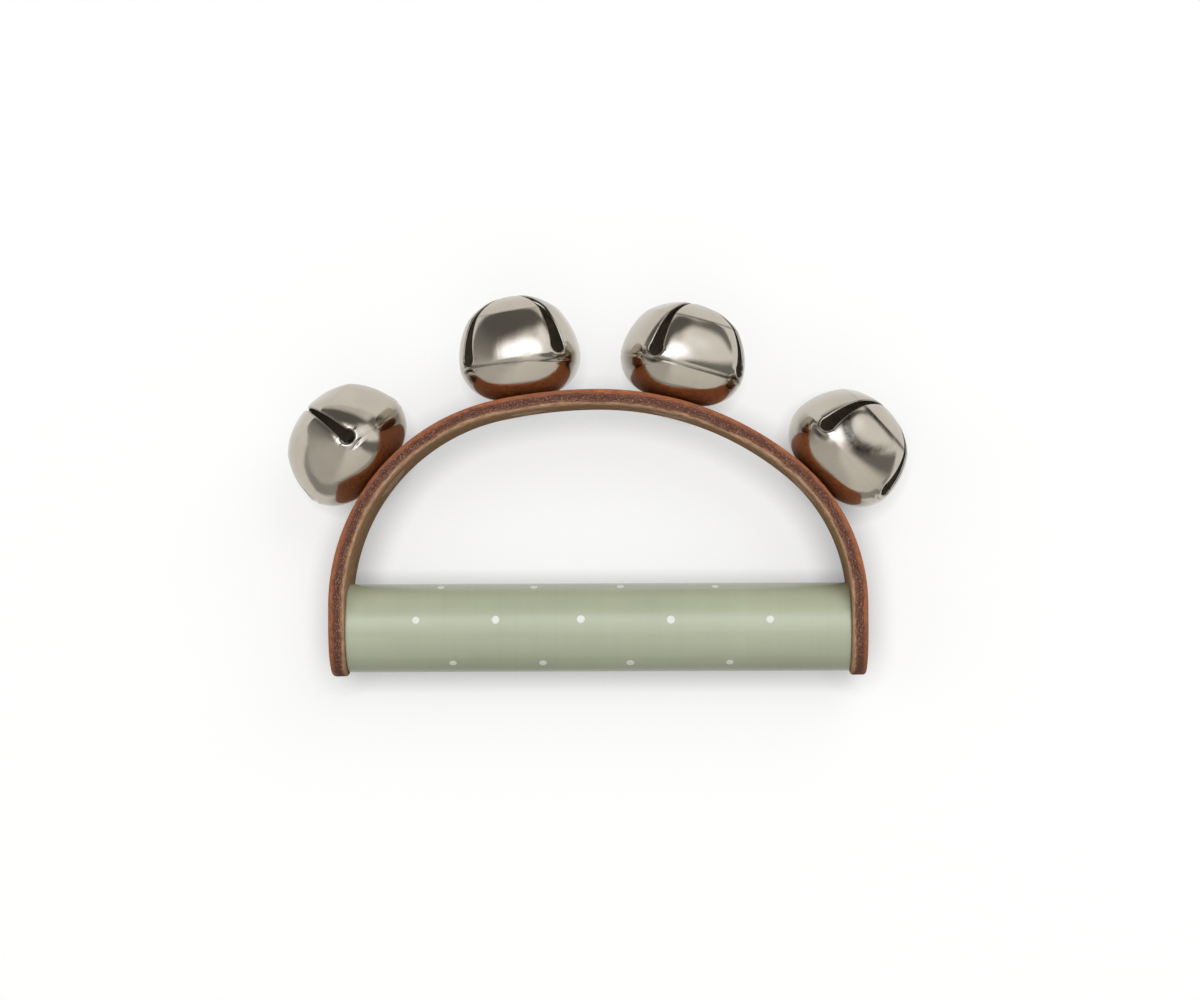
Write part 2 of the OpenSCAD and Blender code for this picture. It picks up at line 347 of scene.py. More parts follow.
def leather_material():
    material, net, shader = new_material("layered_leather")
    flat = net.attribute("flat")
    drift = net.noise(flat, scale=0.22, stretch=(0.35, 1.0, 0.6))
    frayed = net.noise(flat, scale=1.6, detail=4.0, rough=0.65, stretch=(0.28, 1.0, 1.0))
    fibre = net.noise(flat, scale=2.4, detail=4.0, rough=0.7, stretch=(0.25, 1.0, 2.0))
    fleck = net.noise(flat, scale=3.4, rough=0.6, stretch=(0.6, 1.0, 1.0))
    blotch = net.noise(flat, scale=0.5, detail=4.0, rough=0.6)
    # The layers waver along the strap and fray where they meet, by these many millimetres
    depth = net.split(flat)["Z"]
    for waver, most in ((drift, 1.6), (frayed, 1.3)):
        depth = net.plus(depth, net.times(net.math("SUBTRACT", waver, 0.5), most))
    share = net.math("DIVIDE", depth, STRAP_T)
    shade = net.mix(0.9, net.ramp(share, LEATHER_LAYERS), net.ramp(fibre, FIBRE_SHADES), "MULTIPLY")
    shade = net.mix(0.7, shade, net.tones(blotch, (0.74, 0.72, 0.70), (1.22, 1.20, 1.18)), "MULTIPLY")
    # Pale torn fibres show through the ink on the cut edge, hardly on the grain side
    flecked = net.range(fleck, (0.54, 0.66), (0.0, 0.75))
    torn = net.times(flecked, net.range(share, (0.55, 0.95), (1.0, 0.1)))
    pebble = net.add("ShaderNodeTexVoronoi", {"Vector": flat, "Scale": 1.5}).outputs["Distance"]
    grain = net.bump(pebble, strength=0.10, distance=0.0002)
    rough_side = net.bump(frayed, strength=0.45, distance=0.0004, under=grain)
    flesh_to_grain = (0.1, 0.95)
    net.plug(shader, {
        "Base Color": net.mix(torn, shade, (0.36, 0.215, 0.125)),
        "Roughness": net.range(share, flesh_to_grain, (0.95, 0.52)),
        "Specular IOR Level": net.range(share, flesh_to_grain, (0.03, 0.30)),
        "Normal": net.bump(fibre, strength=0.35, distance=0.0003, under=rough_side),
    })
    return material


def paint_material():
    material, net, shader = new_material("sage_paint")
    at = net.object_coords()
    streak = net.noise(at, scale=240.0, stretch=(0.10, 1.0, 1.0))
    turned = net.noise(at, scale=520.0, detail=2.0, stretch=(1.0, 0.03, 0.03))
    cloud = net.noise(at, scale=45.0)
    tone = net.tones(cloud, (0.370, 0.402, 0.288), (0.400, 0.433, 0.312))
    tone = net.mix(0.3, tone, net.tones(turned, (0.94, 0.94, 0.93), (1.05, 1.05, 1.05)), "MULTIPLY")
    tone = net.mix(0.4, tone, net.tones(streak, (0.95, 0.95, 0.94), (1.04, 1.04, 1.04)), "MULTIPLY")
    lines = net.bump(turned, strength=0.02, distance=0.0002)
    net.plug(shader, {
        "Base Color": tone,
        "Roughness": net.range(turned, NOISE_SPAN, (0.16, 0.20)),
        "Specular IOR Level": 0.65,
        "Normal": net.bump(streak, strength=0.06, distance=0.0002, under=lines),
    })
    return material


def dot_material():
    material, net, shader = new_material("white_dot_paint")
    mottle = net.noise(net.object_coords(), scale=900.0)
    net.plug(shader, {
        "Base Color": net.tones(mottle, (0.66, 0.675, 0.63), (0.73, 0.745, 0.70)),
        "Roughness": net.range(mottle, NOISE_SPAN, (0.40, 0.5)),
    })
    return material


NICKEL = nickel_material()
INSIDE = bell_inside_material()
LEATHER = leather_material()
PAINT = paint_material()
DOT = dot_material()
PELLET = steel_material("pellet_steel", (0.20, 0.20, 0.205), (0.30, 0.30, 0.31), rough=0.34)
RIVET = steel_material("browned_brass", (0.27, 0.165, 0.09), (0.36, 0.225, 0.125), rough=0.62, metallic=0.25)
SCREW = steel_material("screw_steel", (0.54, 0.53, 0.50), (0.64, 0.63, 0.59), rough=0.28)


# Shape of the arch: inner face, from the right leg over the crown to the left leg


def bend_radii(side):
    a, half, rise = SHOULDER[side], HANDLE_LEN / 2, CROWN_RISE - LEG_RISE
    low = 1 - sin(a) - cos(a)
    shoulder = (half * (1 - sin(a)) - rise * cos(a)) / low
    crown = (rise * (1 - cos(a)) - half * sin(a)) / low
    return shoulder, crown


def arch_spans():
    """(length, centre, radius, first angle, last angle) of each bend, right to left."""
    spans = []
    for side in (1, -1):
        a = SHOULDER[side]
        shoulder, crown = bend_radii(side)
        bends = [
            ((side * (HANDLE_LEN / 2 - shoulder), LEG_RISE), shoulder, 0.0, a),
            ((0.0, CROWN_RISE - crown), crown, a, 90.0),
        ]
        if side < 0:
            bends = [(c, r, 180.0 - last, 180.0 - first) for c, r, first, last in reversed(bends)]
        spans += [(math.radians(last - first) * r, c, r, first, last) for c, r, first, last in bends]
    return spans


SPANS = arch_spans()
ARCH_LEN = 2 * LEG_RISE + sum(span[0] for span in SPANS)


def arch_at(s):
    """(point on the inner face, outward direction) at a length s from the right leg's root."""
    half = HANDLE_LEN / 2
    if s <= LEG_RISE:
        return (half, s), (1.0, 0.0)
    s -= LEG_RISE
    for length, c, r, first, last in SPANS:
        if s <= length:
            a = first + (last - first) * s / length
            return (c[0] + r * cos(a), c[1] + r * sin(a)), (cos(a), sin(a))
        s -= length
    return (-half, LEG_RISE - s), (-1.0, 0.0)


def lean_length(lean):
    """Length along the inner face at which a bell with this lean stands."""
    s = LEG_RISE
    a = 90.0 - lean
    for length, _, r, first, last in SPANS:
        if first <= a <= last:
            return s + math.radians(a - first) * r
        s += length
    raise ValueError(lean)


def bell_base(lean):
    point, out = arch_at(lean_length(lean))
    step = STRAP_T + TURN_GAP
    return point[0] + out[0] * step, point[1] + out[1] * step


# Leather strap


class Press(NamedTuple):
    """Leather pressed in round a fixing: how deep, how far out and with how soft a border."""

    depth: float
    reach: float
    soft: float

    def at(self, far):
        return self.depth * within(far, self.reach, self.soft)


UNDER_WASHER = Press(0.32, WASHER_R + 0.75, 0.22)
ROUND_SCREW = Press(0.34, SCREW_HEAD_R + 0.8, 0.25)
UNDER_SCREW = Press(1.70, SCREW_HEAD_R - 0.6, 0.08)
UNDER_BELL = Press(0.16, 5.5, 0.5)
BELL_SEATS = [lean_length(stand.lean) for stand in BELLS.values()]
SCREW_SEATS = (0.0, ARCH_LEN)
# Points round an end, along the arch, across a face and down a cut edge
END_STEPS, ARCH_STEPS, FACE_STEPS, RIM_STEPS = 25, 261, 33, 8
EDGE_ANGLES = (0, 18, 36, 54, 72, 90)
# Cut edges: how far they waver, how far their fibres stand out, and how far these lift or sink
EDGE_WAVER, EDGE_FIBRE, FIBRE_LIFT = 0.10, 0.07, 0.05
# Scale of the wavers and of the fibres along, across and through the strap
WAVER_SCALE, FIBRE_SCALE = (0.16, 0.05, 0.25), (0.9, 0.3, 1.3)
LIFT_APART = Vector((7.3, 1.1, 4.2))


def strap_rows():
    """(length, half width, outline normal along, outline normal across) of each row, tip to tip."""
    half = STRAP_W / 2
    angles = np.linspace(0.0, 90.0, END_STEPS)[:-1]
    end = [(half * cos(a), half * sin(a), cos(a), sin(a)) for a in angles]
    rows = [(-s, w, -ns, nw) for s, w, ns, nw in end]
    rows += [(s, half, 0.0, 1.0) for s in np.linspace(0.0, ARCH_LEN, ARCH_STEPS)]
    rows += [(ARCH_LEN + s, w, ns, nw) for s, w, ns, nw in reversed(end)]
    return rows


def strap_loop():
    """Section of the strap as (share across, inward offset, height in the thickness), one turn round."""
    e, t = STRAP_EDGE, STRAP_T
    across = np.linspace(-1.0, 1.0, FACE_STEPS)
    rim = [(e * (1 - sin(b)), t - e + e * cos(b)) for b in EDGE_ANGLES[1:]]
    rim += [(0.0, y) for y in np.linspace(t - e, e, RIM_STEPS)[1:-1]]
    rim += [(e * (1 - cos(b)), e - e * sin(b)) for b in EDGE_ANGLES[:-1]]
    loop = [(x, e, t) for x in across]
    loop += [(1.0, d, y) for d, y in rim]
    loop += [(x, e, 0.0) for x in across[::-1]]
    loop += [(-1.0, d, y) for d, y in reversed(rim)]
    return loop


def pressed(along, x, depth):
    """Height in the thickness after the fixings have pressed the leather's faces in."""
    y = depth
    if depth == 0.0:
        for seat in BELL_SEATS:
            y += UNDER_WASHER.at(math.hypot(along - seat, x))
    if depth == STRAP_T:
        for seat in SCREW_SEATS:
            far = math.hypot(along - seat, x)
            y -= ROUND_SCREW.at(far)
            y -= UNDER_SCREW.at(far)
        for seat in BELL_SEATS:
            y -= UNDER_BELL.at(math.hypot(along - seat, x))
    return y


def build_strap():
    loop = strap_loop()
    points, flats = [], []
    for s, w, ns, nw in strap_rows():
        for share, inset, depth in loop:
            x = share * (w - inset * nw)
            along = s - inset * ns
            y = pressed(along, x, depth)
            # Cut edges waver a little and are fibrous
            side = 1.0 - inset / STRAP_EDGE
            if side > 0.0:
                waver = Vector(np.multiply((along, x, depth), WAVER_SCALE))
                fibre = Vector(np.multiply((along, x, depth), FIBRE_SCALE))
                push = side * (EDGE_WAVER * noise.noise(waver) + EDGE_FIBRE * noise.noise(fibre))
                x += push * nw * (1 if share > 0 else -1)
                along += push * ns
                y += side * FIBRE_LIFT * noise.noise(fibre + LIFT_APART) * (depth / STRAP_T * 2 - 1)
            (px, py), out = arch_at(along)
            points.append((px + out[0] * y, py + out[1] * y, x))
            flats.append((along, x, depth))
    index = np.arange(len(points)).reshape(-1, len(loop))
    points, faces, _, kept = weld(points, grid_faces(index, close_u=True))
    strap = make_piece("leather_strap_worn", points, faces, [LEATHER])
    store(strap, "flat", np.asarray(flats)[kept])
    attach(strap, "grip")
    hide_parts("leather_strap")


# Turned handle and its painted dots

HANDLE_STEPS, HANDLE_TURNS = 300, 128
# Height of the lathe's fine and slow ridges, their scale, and how far they are sunk
FINE_RIDGE, SLOW_RIDGE, RIDGE_SINK = 0.0012, 0.012, 0.008
FINE_SCALE, SLOW_SCALE, SLOW_APART = 1.9, 0.09, 3.0


def handle_profile():
    """(place along the handle, radius) from end to end."""
    half, r, b = HANDLE_LEN / 2, HANDLE_D / 2, HANDLE_BEVEL
    end = [(0.0, 0.0), (0.0, r * 0.5), (0.0, r - b)]
    end += [(b * (1 - cos(a)), r - b + b * sin(a)) for a in (30, 60, 90)]
    profile = [(-half + x, q) for x, q in end]
    for x in np.linspace(-half + b, half - b, HANDLE_STEPS)[1:-1]:
        fine = FINE_RIDGE * wobble(x * FINE_SCALE, 0.0, 0.0)
        slow = SLOW_RIDGE * wobble(x * SLOW_SCALE, SLOW_APART, 0.0)
        profile.append((x, r - RIDGE_SINK + (fine + slow)))
    profile += [(half - x, q) for x, q in reversed(end)]
    return profile


def build_handle():
    profile = handle_profile()
    angles = [k * math.tau / HANDLE_TURNS for k in range(HANDLE_TURNS)]
    points = [(x, q * math.cos(a), q * math.sin(a)) for x, q in profile for a in angles]
    index = np.arange(len(points)).reshape(len(profile), HANDLE_TURNS)
    points, faces, _, _ = weld(points, grid_faces(index[:, ::-1], close_u=True))
    handle = make_piece("handle_turned", points, faces, [PAINT])
    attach(handle, "grip")
    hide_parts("handle")


# Rows of dots: angle from +Z towards +Y, then places along the handle
DOT_ROWS = [
    (11.5, (-44.9, -25.2, -4.2, 18.0, 42.4)),
    (-52.0, (-36.0, -13.7, 7.9, 32.5)),
    (68.0, (-39.1, -16.0, 5.5, 29.1)),
    (128.0, (-47.0, -26.5, -3.0, 19.5, 41.0)),
    (188.0, (-35.0, -14.5, 8.5, 31.0)),
    (248.0, (-46.0, -24.0, -4.5, 17.5, 40.5)),
]
DOT_R, DOT_STEPS = 0.95, 24
# How much dots vary in size, in shape, in their place round the handle in degrees, and at the edge
SIZE_VARIES, SHAPE_VARIES, TURN_VARIES, EDGE_VARIES, EDGE_SCALE = 0.10, 0.10, 1.5, 0.04, 1.5
# Share of a dot's radius and height of its paint over the handle, from the middle to the edge
DOT_RINGS = ((0.0, 0.045), (0.45, 0.045), (0.8, 0.04), (0.94, 0.025), (1.0, -0.01))


def dot_points(number, angle, x0):
    """One hand-painted dot, ring by ring, each a little different."""
    wide = DOT_R + SIZE_VARIES * wobble(number * 1.7, 0.3, 0.0)
    tall = wide * (1.0 + SHAPE_VARIES * wobble(number * 2.3, 5.1, 0.0))
    turn = angle + TURN_VARIES * wobble(number * 0.9, 9.4, 0.0)
    points = []
    for share, lift in DOT_RINGS:
        for k in range(DOT_STEPS):
            a = k * math.tau / DOT_STEPS
            uneven = wobble(math.cos(a) * EDGE_SCALE, math.sin(a) * EDGE_SCALE, number * 3.1)
            edge = share * (1.0 + EDGE_VARIES * uneven)
            side = tall * edge * math.sin(a)
            up = turn + math.degrees(side / (HANDLE_D / 2))
            q = HANDLE_D / 2 + lift
            points.append((x0 + wide * edge * math.cos(a), q * sin(up), q * cos(up)))
    return points


def build_dots():
    spots = [(angle, x0) for angle, places in DOT_ROWS for x0 in places]
    points, faces = [], []
    for number, (angle, x0) in enumerate(spots, 1):
        first = len(points)
        points += dot_points(number, angle, x0)
        index = np.arange(first, len(points)).reshape(len(DOT_RINGS), DOT_STEPS)
        faces += grid_faces(index[::-1], close_u=True)
    points, faces, _, _ = weld(points, faces)
    dots = make_piece("handle_dots", points, faces, [DOT])
    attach(dots, "grip")


# Plain form of a folded bell

PETALS = 4
# Radius of a petal's rounded tip, and how softly a slot's round end runs into its neck
TIP_ROUND, NECK_BLEND, NECK_FILL = 1.0, 0.12, 0.25
# The base is round, not square, out to a radius and up to a height
ROUND_BASE_R, ROUND_BASE_Z = 5.0, 1.0
# Rows over the base, the low bowl, the high bowl, the upper flank, the cap and a petal's tip
BASE_STEPS, LOW_BOWL_STEPS, HIGH_BOWL_STEPS, FLANK_STEPS, CAP_STEPS, TIP_STEPS = 6, 14, 26, 16, 14, 9
LOW_BOWL_END, HIGH_BOWL_START = -25.0, -24.0
# Rows at the slot's round end, one per so many degrees, and above it, in millimetres
HOLE_STEP, NECK_SPAN, NECK_STEP = 7.5, 3.0, 0.2
# Rows that close up to the upper crease, in degrees below it and in millimetres inside it
BELOW_CREASE = np.array([1.5, 1.1, 0.8, 0.5, 0.3, 0.1])
INSIDE_CREASE = np.array([0.02, 0.08, 0.16, 0.26, 0.4, 0.6])
FLANK_END, CAP_START = 2.0, 1.0
# No row lies closer to the fold than this, apart from the fold's own
FOLD_CLEAR = 0.05
# Points across a petal, and halvings in the search for its edge
PETAL_STEPS, HALVINGS = 31, 40
TINY = 1e-6


def arc_rows(centre, radius, angles):
    """Rows of (radius, height, normal out, normal up) along an arc of the profile."""
    return [(centre[0] + radius * cos(a), centre[1] + radius * sin(a), cos(a), sin(a)) for a in angles]


class BellForm:
    """The sheet of a bell: a rounded square in plan, with a bowl, two creases and crossed slots."""

    def __init__(self):
        run = BELL_R - BASE_R
        reach = run * cos(FOLD_ANGLE) - FOLD_RISE * sin(FOLD_ANGLE)
        self.bowl_r = (run ** 2 + FOLD_RISE ** 2) / (2 * reach)
        self.bowl = (BELL_R - self.bowl_r * cos(FOLD_ANGLE), FOLD_RISE + self.bowl_r * sin(FOLD_ANGLE))
        self.cap_z = BELL_H - CAP_R
        self.edge_z = self.cap_z + math.sqrt(CAP_R ** 2 - CAP_EDGE ** 2)
        flank_run = BELL_R - CAP_EDGE
        self.flank_r = (flank_run ** 2 + (self.edge_z - FOLD_RISE) ** 2) / (2 * flank_run)
        self.lip = BELL_WALL / 2
        self.hole_r = SLOT_HOLE_R + self.lip
        self.hole_low = SLOT_Z - self.hole_r
        self.tip_centre = math.sqrt(2) * (SLOT_TIP / 2 + self.lip + TIP_ROUND)
        self.tip_start = self.tip_centre - TIP_ROUND / math.sqrt(2)
        self.rows = self.profile()
        _, heights, _, _, runs = self.rows[BASE_STEPS:].T
        self.crease_run = float(np.interp(self.edge_z, heights, runs))

    def slot_half(self, z, wide):
        """Half width of the slot at a height, out to where the sheet's edge starts to round."""
        if z <= self.hole_low:
            return 0.0
        round_part = math.sqrt(max(self.hole_r ** 2 - (z - SLOT_Z) ** 2, 0.0))
        if z <= SLOT_Z:
            return round_part
        share = (z - SLOT_Z) / (BELL_H - SLOT_Z)
        taper = (SLOT_NECK * (1 - share) * wide + SLOT_TIP * share) / 2 + self.lip
        blend = math.exp(-abs(round_part - taper) / NECK_BLEND)
        return max(round_part, taper) + NECK_BLEND * blend * NECK_FILL

    def profile(self):
        """Rows of (radius, height, normal out, normal up, length from the fold), from rivet hole to tip."""
        rows = [(r, 0.0, 0.0, -1.0) for r in np.linspace(RIVET_HOLE_R, BASE_R, BASE_STEPS)[:-1]]
        heights = [SLOT_Z - self.hole_r * cos(p) for p in np.arange(0.0, 90.0, HOLE_STEP)]
        heights += list(np.arange(SLOT_Z, SLOT_Z + NECK_SPAN, NECK_STEP))
        heights = [z for z in heights if abs(z - FOLD_RISE) > FOLD_CLEAR]
        # Bowl, from the base up to the fold
        first = math.degrees(math.atan2(-self.bowl[1], BASE_R - self.bowl[0]))
        below = [arcsin((z - self.bowl[1]) / self.bowl_r) for z in heights if z < FOLD_RISE] + [-FOLD_ANGLE]
        angles = [*np.linspace(first, LOW_BOWL_END, LOW_BOWL_STEPS)]
        angles += [*np.linspace(HIGH_BOWL_START, below[0], HIGH_BOWL_STEPS)[:-1], *below]
        rows += arc_rows(self.bowl, self.bowl_r, angles)
        # Flank, from the fold up to the upper crease
        centre = BELL_R - self.flank_r
        last = math.degrees(math.atan2(self.edge_z - FOLD_RISE, CAP_EDGE - centre))
        angles = [arcsin((z - FOLD_RISE) / self.flank_r) for z in heights if z > FOLD_RISE]
        angles += [*np.linspace(angles[-1], last - FLANK_END, FLANK_STEPS)[1:], *(last - BELOW_CREASE)]
        rows += arc_rows((centre, FOLD_RISE), self.flank_r, angles)
        # Cap, from the upper crease to the rounded tip
        radii = [*(CAP_EDGE - INSIDE_CREASE), *np.linspace(CAP_EDGE - CAP_START, self.tip_start, CAP_STEPS)]
        radii += [self.tip_centre - TIP_ROUND * cos(p) for p in np.linspace(45.0, 0.0, TIP_STEPS)[1:]]
        for r in radii:
            b = math.asin(r / CAP_R)
            rows.append((r, self.cap_z + CAP_R * math.cos(b), math.sin(b), math.cos(b)))
        rows = np.array(rows)
        length = np.r_[0.0, np.cumsum(np.hypot(*np.diff(rows[:, :2], axis=0).T))]
        fold = np.argmin(np.hypot(rows[:, 0] - BELL_R, rows[:, 1] - FOLD_RISE))
        return np.c_[rows, length - length[fold]]

    def plan(self, r, z, phi):
        """(distance from the axis, direction of the normal) at an angle from the petal's middle."""
        swell = (CORNER_RATIO - 1) * BELL_R * math.sqrt(r / BELL_R)
        if z < ROUND_BASE_Z:
            swell *= clamp((r - RIVET_HOLE_R) / (ROUND_BASE_R - RIVET_HOLE_R))
        far = r + swell * math.sin(2 * phi) ** 2
        return far, phi - math.atan2(2 * swell * math.sin(4 * phi), far)

    def half_angle(self, r, z, wide):
        """Half the angle that a petal's row spans, up to the slot's edge."""
        w = self.slot_half(z, wide)
        low, high = 0.0, math.pi / 4
        for _ in range(HALVINGS):
            mid = (low + high) / 2
            if self.plan(r, z, mid)[0] * math.sin(math.pi / 4 - mid) > w:
                low = mid
            else:
                high = mid
        half = high if w == 0.0 else low
        if z > self.edge_z and r < self.tip_start + TINY:
            y = math.sqrt(max(TIP_ROUND ** 2 - (self.tip_centre - r) ** 2, 0.0))
            half = min(half, math.asin(min(1.0, y / r)))
        return half


FORM = BellForm()
# Share of a row's half angle at each point across a petal, closer together by the slots
ACROSS = np.sin(np.linspace(-1.0, 1.0, PETAL_STEPS) * math.pi / 2)


# Marks on the bells


class Bend(NamedTuple):
    """How one bell is bent, each a little differently."""

    tall: float  # Height over the fold, as a factor
    wide: float  # Width of the slots, as a factor
    crease: float  # How much the upper crease shows
    fold: float  # How much the fold shows
    fold_at: float  # How far the fold lies from its plain place
    fold_tilt: float
    rolled: float = 0.0  # How far the slots' edges are rolled in
    half_fold: bool = False  # The fold shows on the right half alone
    dark_reflection_arc: bool = False  # An arc of painted dark reflection lies beside a slot


BENT = {
    "outer_left": Bend(1.0, 1.0, 0.10, 0.60, fold_at=-1.0, fold_tilt=-1.5, rolled=0.16, half_fold=True),
    "inner_left": Bend(1.05, 1.25, 0.30, 0.90, fold_at=-1.2, fold_tilt=-0.8),
    "inner_right": Bend(1.0, 1.15, 0.60, 1.0, fold_at=-0.9, fold_tilt=0.0, rolled=0.08),
    "outer_right": Bend(1.012, 1.2, 1.0, 0.05, fold_at=-0.9, fold_tilt=0.0, dark_reflection_arc=True),
}
# How far a slot's neighbourhood reaches, and the radius at which the sheet counts as full width
SLOT_REACH, FULL_WIDTH_R = 4.0, 12.0
# How much creases show on the other petals, and how far up a petal faces to be the upper one
SHOWN_LEAST, UPPER_EDGE, UPPER_SOFT = 0.25, -0.8, 0.03
# Where a half fold ends
HALF_EDGE, HALF_SOFT = 0.12, 0.05
# Scale of the patches of painted shade and of the sheet's waves, and how far apart the bells lie in them
PATCH_SCALE, PATCH_APART, WAVE_SCALE, WAVE_APART = 0.35, 5.3, 0.11, 3.7


class Spot:
    """A place on one bell's sheet, measured against its slots, its folds and its upper side."""

    def __init__(self, place, phi, facing, half, row):
        self.bend = BENT[place]
        self.number = bell_number(place)
        self.phi = phi
        self.r, self.z, _, _, self.run = row
        turn = BELLS[place].turn
        # Distance from the petal's edge and from the middle of the slot or corner beside it
        self.edge = (half - abs(phi)) * FORM.plan(self.r, self.z, phi)[0]
        self.corner = self.edge + FORM.slot_half(self.z, self.bend.wide)
        self.by_slot = hump(self.corner, SLOT_REACH)
        # The petal that lies uppermost shows its creases and their painted shade most
        upper = within(sin(math.degrees(facing) + turn), UPPER_EDGE, UPPER_SOFT)
        self.shown = SHOWN_LEAST + (1.0 - SHOWN_LEAST) * upper
        a = facing + phi
        self.at = Vector((self.r * math.cos(a), self.r * math.sin(a), self.z))
        self.drift = noise.noise(self.at * PATCH_SCALE + Vector((self.number * PATCH_APART, 2.0, 0.0)))
        # From about -1 at the bell's left to 1 at its right, as it stands
        self.across = math.cos(a + math.radians(turn)) * self.r / FULL_WIDTH_R
        self.fold = self.bend.fold
        if self.bend.half_fold:
            self.fold *= within(-self.across, -HALF_EDGE, HALF_SOFT)


# Each mark gives (how far it lifts the sheet off its plain form in millimetres, how much painted shade or
# painted dark reflection it lays on the nickel)

# Fold: depth of its groove, added depth by the slots and width, then the ridge below it
GROOVE_DEPTH, GROOVE_BY_SLOT, GROOVE_WIDTH = 0.03, 0.07, 0.30
RIDGE_RISE, RIDGE_BELOW, RIDGE_WIDTH = 0.05, 0.75, 0.42
# Its painted shade, added by the slots and varying, then the width of the painted shade
FOLD_PAINTED_SHADE, FOLD_SHADE_BY_SLOT, FOLD_SHADE_VARIES = 0.65, 0.35, 0.35
FOLD_SHADE_WIDTH, FOLD_SHADE_WIDER = 0.28, 0.27


def fold_groove(spot):
    """The fold: a groove that is deepest near the slots, over a soft ridge, with painted shade along the
    groove.
    """
    past = spot.run - spot.bend.fold_at - spot.bend.fold_tilt * spot.across
    lift = -(GROOVE_DEPTH + GROOVE_BY_SLOT * spot.by_slot) * spot.fold * hump(past, GROOVE_WIDTH)
    lift += RIDGE_RISE * spot.fold * hump(past + RIDGE_BELOW, RIDGE_WIDTH)
    painted_dark_amount = FOLD_PAINTED_SHADE + FOLD_SHADE_BY_SLOT * spot.by_slot + FOLD_SHADE_VARIES * spot.drift
    painted_dark_amount *= spot.fold * spot.shown
    return lift, painted_dark_amount * hump(past, FOLD_SHADE_WIDTH + FOLD_SHADE_WIDER * spot.by_slot)


# Depth and width of the upper crease, its painted shade and how that varies, and the painted shade's spread
CREASE_DEPTH, CREASE_WIDTH = 0.05, 0.30
CREASE_PAINTED_SHADE, CREASE_VARIES = 1.3, 0.4
CREASE_SPREAD, CREASE_WIDER = 0.14, 0.38


def upper_crease(spot):
    """The crease between flank and cap, with painted shade along it."""
    crease = spot.bend.crease * spot.shown
    past = spot.run - FORM.crease_run
    painted_dark_amount = crease * (CREASE_PAINTED_SHADE + CREASE_VARIES * spot.drift)
    painted_dark_amount *= hump(past, CREASE_SPREAD + CREASE_WIDER * crease)
    return -CREASE_DEPTH * crease * hump(past, CREASE_WIDTH), painted_dark_amount


# Slot edges: how far they turn in, the width of plain and rolled ones, and the height they start over
TURNED_IN, TURNED_WIDTH, ROLLED_WIDTH, TURN_START = 0.07, 0.5, 0.55, 2.0
# Lip under a slot's round end, and the painted shade in a ring outside it
LIP_RISE, LIP_OUT, LIP_WIDTH = 0.10, 0.30, 0.45
LIP_PAINTED_SHADE, SHADE_RING_OUT, SHADE_RING_WIDTH, SHADE_RING_REACH = 0.6, 0.95, 0.25, 2.2


def slot_edge(spot):
    """Slot edges turned in, with a raised lip under their round ends and painted shade round the lip."""
    edge, z = spot.edge, spot.z
    lift = -TURNED_IN * math.exp(-edge / TURNED_WIDTH) * clamp((z - FORM.hole_low) / TURN_START)
    lift -= spot.bend.rolled * math.exp(-edge / ROLLED_WIDTH) * clamp((z - SLOT_Z) / TURN_START)
    if z >= SLOT_Z:
        return lift, 0.0
    ring = math.hypot(spot.corner, z - SLOT_Z) - FORM.hole_r
    painted_dark_amount = LIP_PAINTED_SHADE * hump(ring - SHADE_RING_OUT, SHADE_RING_WIDTH) * hump(spot.corner, SHADE_RING_REACH)
    return lift + LIP_RISE * hump(ring - LIP_OUT, LIP_WIDTH), painted_dark_amount


class Pucker(NamedTuple):
    """A mark under each slot: its strength, its width, how far below the slot it lies, its height."""

    strength: float
    wide: float
    below: float
    tall: float

    def at(self, spot):
        low = FORM.hole_low - spot.z
        return self.strength * hump(spot.corner, self.wide) * hump(low - self.below, self.tall)


PUCKER_HOLLOW = Pucker(0.22, 1.25, 0.75, 0.45)
PUCKER_RISE = Pucker(0.15, 1.7, 1.7, 0.55)
# Painted shade in the hollow under each slot
PUCKER_PAINTED_SHADE = Pucker(1.1, 2.1, 0.8, 0.5)


def slot_pucker(spot):
    """The sheet puckered under each slot: a hollow with a rise below it, and painted shade in the hollow."""
    return PUCKER_RISE.at(spot) - PUCKER_HOLLOW.at(spot), spot.fold * PUCKER_PAINTED_SHADE.at(spot)


# Arc of painted dark reflection: its lowest place, how it bows up to both sides, its width, its end, its
# depth and how dark it is painted
DARK_ARC_TURN, DARK_ARC_Z, DARK_ARC_BOW_RIGHT, DARK_ARC_BOW_LEFT = -17.0, 12.2, 0.0050, 0.0065
DARK_ARC_WIDTH, DARK_ARC_END, DARK_ARC_END_SOFT, DARK_ARC_DEPTH = 1.5, 26.0, 4.0, 0.03
DARK_ARC_PAINTED, DARK_ARC_VARIES = 1.5, 0.6


def painted_reflection_arc(spot):
    """A painted dark reflection in an arc beside one slot of one bell, on the upper petal, over a shallow
    dent.
    """
    if not spot.bend.dark_reflection_arc or spot.shown <= 0.5:
        return 0.0, 0.0
    turned = math.degrees(spot.phi) - DARK_ARC_TURN
    bow = DARK_ARC_BOW_RIGHT if turned > 0.0 else DARK_ARC_BOW_LEFT
    arc_mask = hump(spot.z - DARK_ARC_Z - bow * turned ** 2, DARK_ARC_WIDTH)
    arc_mask *= within(turned, DARK_ARC_END, DARK_ARC_END_SOFT)
    return -DARK_ARC_DEPTH * arc_mask, (DARK_ARC_PAINTED + DARK_ARC_VARIES * spot.drift) * arc_mask


# Waves of the sheet: their height, and the radius from which they start and over which they grow
WAVE_RISE, WAVE_R = 0.10, 5.0


